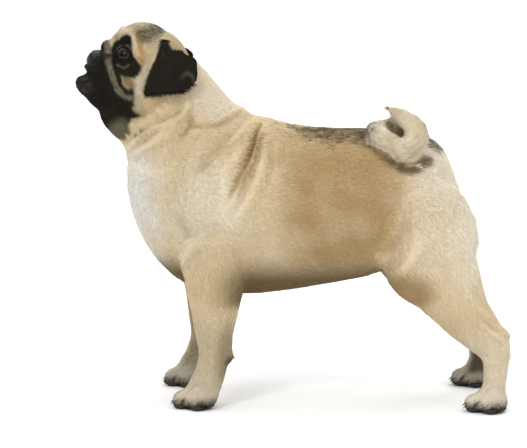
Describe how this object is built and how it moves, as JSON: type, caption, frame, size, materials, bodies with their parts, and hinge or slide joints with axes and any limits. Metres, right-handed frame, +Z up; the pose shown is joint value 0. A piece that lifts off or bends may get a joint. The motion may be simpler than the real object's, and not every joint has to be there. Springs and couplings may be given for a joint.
{
  "type": "pug dog",
  "caption": "Life-size still model of a fawn pug with black mask and ears, standing four-square, head raised, tail curled over the left hip.",
  "frame": {"origin": "bottom centre of the bounding box, on the floor under the middle of the dog", "axes": "+Z up, the dog faces -X, its left side is towards -Y"},
  "size_m": [0.4505, 0.1814, 0.3895],
  "materials": {
    "fawn_coat": "short dense fawn coat with a dark trace along the back and a black mask",
    "paw": "short pale fawn coat with black claws and black pads",
    "black_ear": "very short soft black coat",
    "nose_leather": "moist black pebbled leather",
    "eyeball": "wet dark brown eye"
  },
  "bodies": {
    "root": {"head": "fawn_coat", "neck": "fawn_coat", "chest": "fawn_coat", "loin": "fawn_coat", "rump": "fawn_coat", "tail_root": "fawn_coat", "tail_curl": "fawn_coat", "upper_arm_left": "fawn_coat", "upper_arm_right": "fawn_coat", "forearm_left": "fawn_coat", "forearm_right": "fawn_coat", "thigh_left": "fawn_coat", "thigh_right": "fawn_coat", "shank_left": "fawn_coat", "shank_right": "fawn_coat", "rear_pastern_left": "fawn_coat", "rear_pastern_right": "fawn_coat", "fore_paw_left": "paw", "fore_paw_right": "paw", "hind_paw_left": "paw", "hind_paw_right": "paw", "ear_left": "black_ear", "ear_right": "black_ear", "nose": "nose_leather", "eye_left": "eyeball", "eye_right": "eyeball"}
  },
  "joints": []
}
